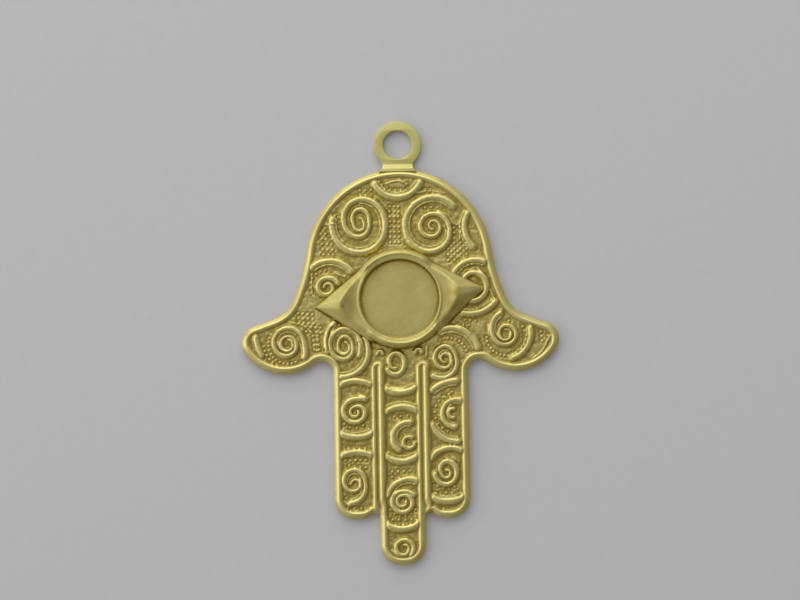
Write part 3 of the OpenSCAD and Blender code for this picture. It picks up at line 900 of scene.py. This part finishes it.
# height of the hollow's ceiling under the eye
def hollowHeight(x, y):
    s = sheetBack
    under = np.minimum(eyeHeight(x, y) - s["metal"], s["highest"])
    return np.where(np.hypot(x, y) < s["seatRadius"], s["underSeat"], under)


# for each ray from the eye's centre, how far out the hollow reaches
def hollowEdge():
    s = sheetBack
    angles = np.linspace(0, 2 * math.pi, s["rays"], endpoint=False)
    reach = np.arange(*s["edgeSearch"])
    over = hollowHeight(*polar(angles, reach)) > s["edgeHeight"]
    first = np.where(over.all(axis=1), len(reach) - 1, np.argmin(over, axis=1))
    return angles, np.minimum(reach[first], s["furthest"])


# Eye

eyeMesh = {
    "seatRings": (0.5, 4.6, 10),  # first, last and number
    "collarRings": (4.70, 6.25, 0.045),  # first, last and spacing
    "cornerRings": 41,
    "overlap": 0.03,  # the eye reaches this far past its edge
    "sink": 0.12,  # and its last ring lies this far below the sheet's height
    "sheetUnder": 0.45,  # the sheet reaches this far in under the eye
    "hollowRings": (0.5, 2.5, 4.5, 5.2, 5.34),
    "hollowOuterRings": 15,
}


# one row of distances for each ray: the given rings, then even steps out to the ray's reach
def ringDistances(rings, reach, count):
    share = np.linspace(0, 1, count + 1)[1:]
    out = rings[-1] + (reach - rings[-1])[:, None] * share[None, :]
    return np.hstack([np.tile(rings, (len(reach), 1)), out])


# a mesh of rings, with the last one at the height edge
def polarMesh(angles, distances, height, edge, upward=True):
    x, y = polar(angles, distances)
    z = height(x, y)
    z[:, -1] = edge
    rays, rings = distances.shape
    vertices = np.c_[x.ravel(), y.ravel() + eyeShape["y"], z.ravel()]
    centre = len(vertices)
    vertices = np.vstack([vertices, [[0, eyeShape["y"], z[0, 0]]]])
    faces = []
    for i in range(rays):
        j = (i + 1) % rays
        faces.append([centre, i * rings, j * rings])
        for k in range(rings - 1):
            faces.append([i * rings + k, i * rings + k + 1, j * rings + k + 1, j * rings + k])
    if not upward:
        faces = [f[::-1] for f in faces]
    return vertices, faces


def makeEye():
    m = eyeMesh
    angles, reach = eyeEdge()
    rings = np.r_[np.linspace(*m["seatRings"]), np.arange(*m["collarRings"])]
    distances = ringDistances(rings, reach + m["overlap"], m["cornerRings"])
    vertices, faces = polarMesh(angles, distances, eyeHeight, relief["field"] - m["sink"])
    angles, reach = hollowEdge()
    distances = ringDistances(m["hollowRings"], reach, m["hollowOuterRings"])
    under, underFaces = polarMesh(angles, distances, hollowHeight, 0.0, upward=False)
    faces += [[c + len(vertices) for c in f] for f in underFaces]
    eye = makeObject("eye", np.vstack([vertices, under]), faces)
    addTone(eye, eyeTone(vertices))
    return eye


eyeTones = {
    "grid": 0.1,  # the tone is worked out on a grid of this spacing
    "halfWidth": 12.5,
    "halfHeight": 9,
    "wideCells": 9,  # half the breadth of the neighbourhoods, in grid cells
    "closeCells": 2,
    "wideShare": 0.30,
    "closeShare": 0.8,
    "highest": 0.01,
    "seatRadius": 5.3,
    "seatShadeFadeOver": (-1.0, -4.0),  # the painted shade at the seat's edge fades out towards the bottom, between these heights
    "seatShadeFade": 0.7,
    # tarnish, and painted shade on the corners' shaded facets and along the brow: x, y, radius,
    # depth of the tone
    "tarnishAndShade": (
        (-7.35, 4.45, 0.30, 0.14),
        (-6.90, 5.40, 0.70, 0.055),
        (-6.20, 6.80, 0.65, 0.065),
        (-5.50, 8.00, 0.50, 0.045),
        (-6.80, 3.40, 0.80, 0.050),
        (-6.10, 4.60, 0.90, 0.030),
        (-3.00, 9.80, 0.45, 0.055),
        (-3.75, 9.20, 0.45, 0.055),
        (-4.40, 8.40, 0.40, 0.050),
        (7.20, 5.90, 0.45, 0.080),
        (6.60, 4.30, 0.80, 0.080),
        (5.80, 2.80, 0.75, 0.090),
        (7.80, 4.70, 1.10, 0.060),
        (9.70, 6.00, 0.70, 0.050),
        (5.90, 8.00, 0.45, 0.035),
    ),
}


# tone of the eye's front: painted shade and dirt in its hollows, and spots of tarnish and painted
# shade
def eyeTone(vertices):
    t = eyeTones
    x, y = np.meshgrid(np.arange(-t["halfWidth"], t["halfWidth"], t["grid"]),
                       np.arange(-t["halfHeight"], t["halfHeight"], t["grid"]))
    height = np.maximum(eyeHeight(x, y), relief["field"])
    tone = hollowTone(height, np.ones_like(height, bool), t)
    across, up = vertices[:, 0], vertices[:, 1] - eyeShape["y"]
    column = np.clip(((across + t["halfWidth"]) / t["grid"]).astype(int), 0, x.shape[1] - 1)
    row = np.clip(((up + t["halfHeight"]) / t["grid"]).astype(int), 0, x.shape[0] - 1)
    tone = np.minimum(tone[row, column], t["highest"])
    # painted shade at the seat's foot, weaker towards the bottom of the seat
    seatShadeFade = tone * (1 - t["seatShadeFade"] * smoothStep(*t["seatShadeFadeOver"], up))
    tone = np.where(np.hypot(across, up) < t["seatRadius"], seatShadeFade, tone)
    # spots of tarnish and of painted shade on the shaded facets and the brow
    for spotX, spotY, radius, depth in t["tarnishAndShade"]:
        away = np.hypot(across - spotX, vertices[:, 1] - spotY)
        tone = tone - depth * np.exp(-(away / radius) ** 2)
    return tone


# Hanging ring

ringShape = {
    "y": 25.35,  # centre
    "outer": 3.05,
    "hole": 1.85,
    "thickness": 0.8,
    "bevel": 0.09,
    "bevelSteps": 3,
    "outerStep": 0.15,  # spacing of the points round the ring and its hole
    "holeStep": 0.12,
    # right side of the neck, from the ring down to the crown
    "neck": ((2.37, 23.43), (2.12, 23.16), (1.99, 22.88), (1.97, 22.60), (2.06, 22.30),
             (2.25, 22.02), (2.45, 21.80)),
    "bendFrom": 22.85,  # the neck climbs from here to the crown's rim
    "bendTo": 22.20,
    "bendCuts": 9,
    "climb": 0.28,
    "sharp": 40,  # edges over this many degrees stay crisp
}


def makeRing():
    s = ringShape
    first = math.asin((s["neck"][0][1] - s["y"]) / s["outer"])
    head = arcPoints((0, s["y"]), s["outer"], first, math.pi - 2 * first, s["outerStep"])
    right = through(s["neck"])[1:]
    outer = np.vstack([head, right * [-1, 1], right[::-1]])
    hole = arcPoints((0, s["y"]), s["hole"], 0, -2 * math.pi, s["holeStep"])[:-1]
    curve = bpy.data.curves.new("ringShape", "CURVE")
    curve.dimensions = "2D"
    curve.fill_mode = "BOTH"
    curve.extrude = (s["thickness"] / 2 - s["bevel"]) * unit
    curve.bevel_depth = s["bevel"] * unit
    curve.bevel_resolution = s["bevelSteps"]
    curve.offset = -s["bevel"] * unit
    for loop in (outer, hole):
        spline = curve.splines.new("POLY")
        spline.points.add(len(loop) - 1)
        for point, (x, y) in zip(spline.points, loop):
            point.co = (x * unit, y * unit, 0, 1)
        spline.use_cyclic_u = True
    shape = addObject("ringShape", curve)
    bpy.context.view_layer.update()
    evaluated = shape.evaluated_get(bpy.context.evaluated_depsgraph_get())
    mesh = bpy.data.meshes.new_from_object(evaluated)
    bpy.data.objects.remove(shape)
    mesh.name = "hangingRing"
    ring = addObject("hangingRing", mesh)
    bendNeck(mesh)
    return ring


# cuts the neck across and lifts it to the rim of the crown
def bendNeck(mesh):
    s = ringShape
    work = bmesh.new()
    work.from_mesh(mesh)
    for y in np.linspace(s["bendTo"], s["bendFrom"], s["bendCuts"]):
        whole = work.verts[:] + work.edges[:] + work.faces[:]
        bmesh.ops.bisect_plane(work, geom=whole, plane_co=(0, y * unit, 0), plane_no=(0, 1, 0))
    bmesh.ops.remove_doubles(work, verts=work.verts, dist=1e-7)
    for vertex in work.verts:
        share = smoothStep(s["bendFrom"], s["bendTo"], vertex.co.y / unit)
        vertex.co.z += (s["thickness"] / 2 + s["climb"] * share) * unit
    work.to_mesh(mesh)
    work.free()
    mesh.shade_smooth()
    mesh.set_sharp_from_angle(angle=math.radians(s["sharp"]))


# Brass

metalDetail = {
    "inputs": {
        "Bright": (0.79, 0.69, 0.265, 1),
        "Deep": (0.34, 0.235, 0.035, 1),
        "Roughness": 0.36,
        "Smudge": 0.3,
        "Grain": 0.2,
        "Hollow Shade And Dirt": 1.0,
    },
    # painted shade and dirt: the hollows darken between these tones
    "hollow": (0.02, -0.16),  # tones at which the darkening begins and is full
    # noises: scale, detail, roughness, stretch and its direction in degrees
    "smudge": (420, 5, 0.6, (1.7, 0.7, 1), 38),
    "cloud": (900, 4, 0.55),
    "grain": (5200, 3, 0.6),
    "scratch": (1800, 2, 0.5, (5.0, 0.45, 1), 38),
    "smudgeRange": (0.42, 0.72),
    "smudgeDark": 0.5,  # how dark a full smudge is
    "cloudRange": (0.3, 0.7, -0.05, 0.05),  # noise from and to, change of roughness from and to
    "dirtRoughness": 0.16,  # rougher where it is darkest
    "scratchShare": 0.7,
    "bumpDepth": 0.00002,  # metres
}


# gives each of these inputs a value or another node's output
def setInputs(node, inputs):
    for name, value in inputs.items():
        if isinstance(value, bpy.types.NodeSocket):
            node.id_data.links.new(value, node.inputs[name])
        else:
            node.inputs[name].default_value = value


# a new node with these inputs and settings
def addNode(tree, kind, inputs=None, **settings):
    node = tree.nodes.new(kind)
    for name, value in settings.items():
        setattr(node, name, value)
    setInputs(node, inputs or {})
    return node


# grain, smudges and fine scratches of raw brass, and hollows darkened with painted shade and dirt
def metalGroup():
    d = metalDetail
    group = bpy.data.node_groups.new("rawMetal", "ShaderNodeTree")
    for name, value in d["inputs"].items():
        kind = "NodeSocketColor" if isinstance(value, tuple) else "NodeSocketFloat"
        made = group.interface.new_socket(name=name, in_out="INPUT", socket_type=kind)
        made.default_value = value
    for name, kind in (("Color", "Color"), ("Roughness", "Float"), ("Normal", "Vector")):
        group.interface.new_socket(name=name, in_out="OUTPUT", socket_type="NodeSocket" + kind)
    given = addNode(group, "NodeGroupInput").outputs
    place = addNode(group, "ShaderNodeTexCoord").outputs["Object"]

    def noise(scale, detail, rough, stretch=(1, 1, 1), turn=0):
        mapping = addNode(group, "ShaderNodeMapping", {
            "Vector": place, "Rotation": (0, 0, math.radians(turn)), "Scale": stretch,
        }, vector_type="TEXTURE")
        return addNode(group, "ShaderNodeTexNoise", {
            "Vector": mapping.outputs["Vector"], "Scale": scale, "Detail": detail,
            "Roughness": rough,
        }).outputs["Fac"]

    def mathNode(kind, a, b, clamp=False):
        made = addNode(group, "ShaderNodeMath", {0: a, 1: b}, operation=kind, use_clamp=clamp)
        return made.outputs[0]

    def rangeNode(value, low, high, toLow=0.0, toHigh=1.0):
        return addNode(group, "ShaderNodeMapRange", {
            "Value": value, "From Min": low, "From Max": high, "To Min": toLow, "To Max": toHigh,
        }).outputs[0]

    # painted shade and dirt: the hollows' tone mixes the colour towards Deep
    height = addNode(group, "ShaderNodeAttribute", attribute_name="proud").outputs["Fac"]
    hollow = rangeNode(height, *d["hollow"])
    hollow = mathNode("MULTIPLY", hollow, given["Hollow Shade And Dirt"], clamp=True)
    smudge = rangeNode(noise(*d["smudge"]), *d["smudgeRange"])
    smudge = mathNode("MULTIPLY", smudge, given["Smudge"], clamp=True)
    dark = mathNode("ADD", hollow, mathNode("MULTIPLY", smudge, d["smudgeDark"]), clamp=True)
    mix = addNode(group, "ShaderNodeMix", {
        "Factor": dark, "A": given["Bright"], "B": given["Deep"],
    }, data_type="RGBA")
    cloud = rangeNode(noise(*d["cloud"]), *d["cloudRange"])
    rough = mathNode("ADD", given["Roughness"], cloud)
    dirt = mathNode("MULTIPLY", dark, d["dirtRoughness"])
    rough = mathNode("ADD", rough, dirt, clamp=True)
    grain, scratch = noise(*d["grain"]), noise(*d["scratch"])
    bump = addNode(group, "ShaderNodeBump", {
        "Distance": d["bumpDepth"],
        "Strength": given["Grain"],
        "Height": mathNode("ADD", grain, mathNode("MULTIPLY", scratch, d["scratchShare"])),
    })
    addNode(group, "NodeGroupOutput", {
        "Color": mix.outputs["Result"], "Roughness": rough, "Normal": bump.outputs["Normal"],
    })
    return group


finishes = {
    "stampedBrass": {"Roughness": 0.32, "Smudge": 0.25, "Grain": 0.35, "Hollow Shade And Dirt": 0.8},
    "satinBrass": {"Roughness": 0.42, "Smudge": 0.45, "Grain": 0.7, "Hollow Shade And Dirt": 1.0,
                   "Bright": (0.69, 0.605, 0.222, 1)},
    "ringBrass": {"Roughness": 0.38, "Smudge": 0.25, "Grain": 0.45, "Hollow Shade And Dirt": 0.0,
                  "Bright": (0.68, 0.62, 0.232, 1)},
}


def makeBrass(name, group):
    material = bpy.data.materials.new(name)
    material.use_nodes = True
    metal = addNode(material.node_tree, "ShaderNodeGroup", finishes[name], node_tree=group)
    setInputs(material.node_tree.nodes["Principled BSDF"], {
        "Metallic": 1.0,
        "Base Color": metal.outputs["Color"],
        "Roughness": metal.outputs["Roughness"],
        "Normal": metal.outputs["Normal"],
    })
    return material


# Table and light

studio = {
    "tableColour": (0.675, 0.665, 0.690, 1),
    "tableHalf": 1.5,  # half its side, in metres
    "tableRoughness": 0.75,
    "tableSpecular": 0.2,
    "tableGrain": 900,  # scale of its faint grain
    "tableGrainDetail": 4,
    "darkGrain": 0.97,
    "brightGrain": 1.03,
    "room": (0.98, 0.98, 1.0, 1),
    "overhead": 0.47,  # brightness straight above
    "walls": 0.57,  # mean brightness all round
    "wallSlope": 0.31,  # how much brighter the bright side is, and how much darker the other
    "brightSide": (-0.75, 0.66, 0.0),
    # place in mm, size in mm, power in W for a pendant this small, colour
    "lights": {
        "windowLight": ((-40, 240, 190), 320, 0.26, (0.97, 1.0, 0.96)),
        "sideLight": ((-330, 30, 150), 230, 0.13, (1.0, 0.98, 0.97)),
    },
}


def makeTable():
    s = studio
    mesh = bpy.data.meshes.new("table")
    half = s["tableHalf"]
    corners = [(-half, -half, 0), (half, -half, 0), (half, half, 0), (-half, half, 0)]
    mesh.from_pydata(corners, [], [(0, 1, 2, 3)])
    table = addObject("table", mesh)
    material = bpy.data.materials.new("tableTop")
    material.use_nodes = True
    tree = material.node_tree
    noise = addNode(tree, "ShaderNodeTexNoise", {
        "Vector": addNode(tree, "ShaderNodeTexCoord").outputs["Object"],
        "Scale": s["tableGrain"],
        "Detail": s["tableGrainDetail"],
    })
    shade = addNode(tree, "ShaderNodeMapRange", {
        "Value": noise.outputs["Fac"], "To Min": s["darkGrain"], "To Max": s["brightGrain"],
    })
    tint = addNode(tree, "ShaderNodeMix", {
        "Factor": 1.0, "A": s["tableColour"], "B": shade.outputs["Result"],
    }, data_type="RGBA", blend_type="MULTIPLY")
    setInputs(tree.nodes["Principled BSDF"], {
        "Base Color": tint.outputs["Result"],
        "Roughness": s["tableRoughness"],
        "Specular IOR Level": s["tableSpecular"],
    })
    mesh.materials.append(material)


def makeLights():
    s = studio
    world = bpy.data.worlds.new("room")
    world.use_nodes = True
    tree = world.node_tree
    direction = addNode(tree, "ShaderNodeTexCoord").outputs["Generated"]
    side = addNode(tree, "ShaderNodeVectorMath", {0: direction, 1: s["brightSide"]},
                   operation="DOT_PRODUCT")
    slope = addNode(tree, "ShaderNodeMath", {0: side.outputs["Value"], 1: s["wallSlope"]},
                    operation="MULTIPLY")
    split = addNode(tree, "ShaderNodeSeparateXYZ", {"Vector": direction})
    level = addNode(tree, "ShaderNodeMapRange", {
        "Value": split.outputs["Z"], "To Min": s["walls"], "To Max": s["overhead"],
    })
    strength = addNode(tree, "ShaderNodeMath", {
        0: level.outputs["Result"], 1: slope.outputs["Value"],
    }, operation="ADD")
    setInputs(tree.nodes["Background"], {
        "Color": s["room"], "Strength": strength.outputs["Value"],
    })
    bpy.context.scene.world = world
    for name, (place, size, power, colour) in s["lights"].items():
        data = bpy.data.lights.new(name, "AREA")
        data.shape = "SQUARE"
        data.size = size * unit
        data.energy = power
        data.color = colour
        light = addObject(name, data)
        light.location = Vector(place) * unit
        light.rotation_euler = (-light.location).to_track_quat("-Z", "Y").to_euler()


makeTable()
makeLights()
print("table and lights made")

brassGroup = metalGroup()
pieces = {
    "stampedBrass": makeHand(),
    "satinBrass": makeEye(),
    "ringBrass": makeRing(),
}
print("hand, eye and ring made")
for finish, piece in pieces.items():
    piece.data.materials.append(makeBrass(finish, brassGroup))
    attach(piece, "root")
    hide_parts("hamsa")
    print(piece.name, "triangles", sum(len(p.vertices) - 2 for p in piece.data.polygons))
